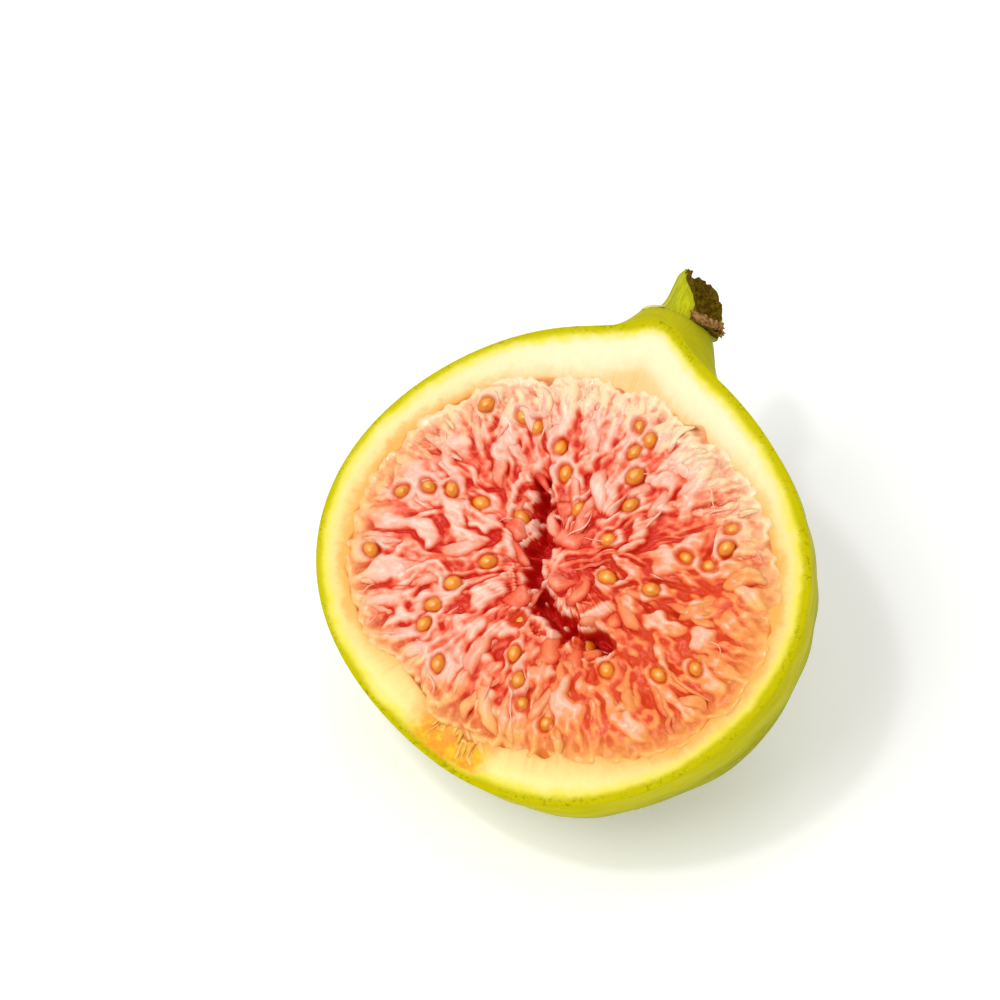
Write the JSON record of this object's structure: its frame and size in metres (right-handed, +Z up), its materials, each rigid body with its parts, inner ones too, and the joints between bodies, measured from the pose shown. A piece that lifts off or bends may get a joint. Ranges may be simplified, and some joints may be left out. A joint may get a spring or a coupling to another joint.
{
  "type": "fresh fig",
  "caption": "Half of a fresh green fig cut lengthwise, with cream wall, pink flesh with seeds, and a stalk stub, resting on its rounded skin.",
  "frame": {"origin": "centre of the small flat spot under the rounded skin, on the surface that the half rests on", "axes": "+Z up from the surface; the cut face leans 24 degrees from level, down towards -X and -Y; the stalk end is at the +X +Y side and a little higher"},
  "size_m": [0.0507, 0.0557, 0.033],
  "materials": {
    "skin_and_wall": "waxy yellow-green skin, cream wall on the cut",
    "flesh": "wet pink and red florets with amber seeds",
    "eye_scales": "moist orange-yellow scales",
    "stalk": "green stub with a rough brown torn end"
  },
  "bodies": {
    "root": {"fruit_wall": "skin_and_wall", "florets": "flesh", "eye_scales": "eye_scales", "stalk": "stalk"}
  },
  "joints": []
}
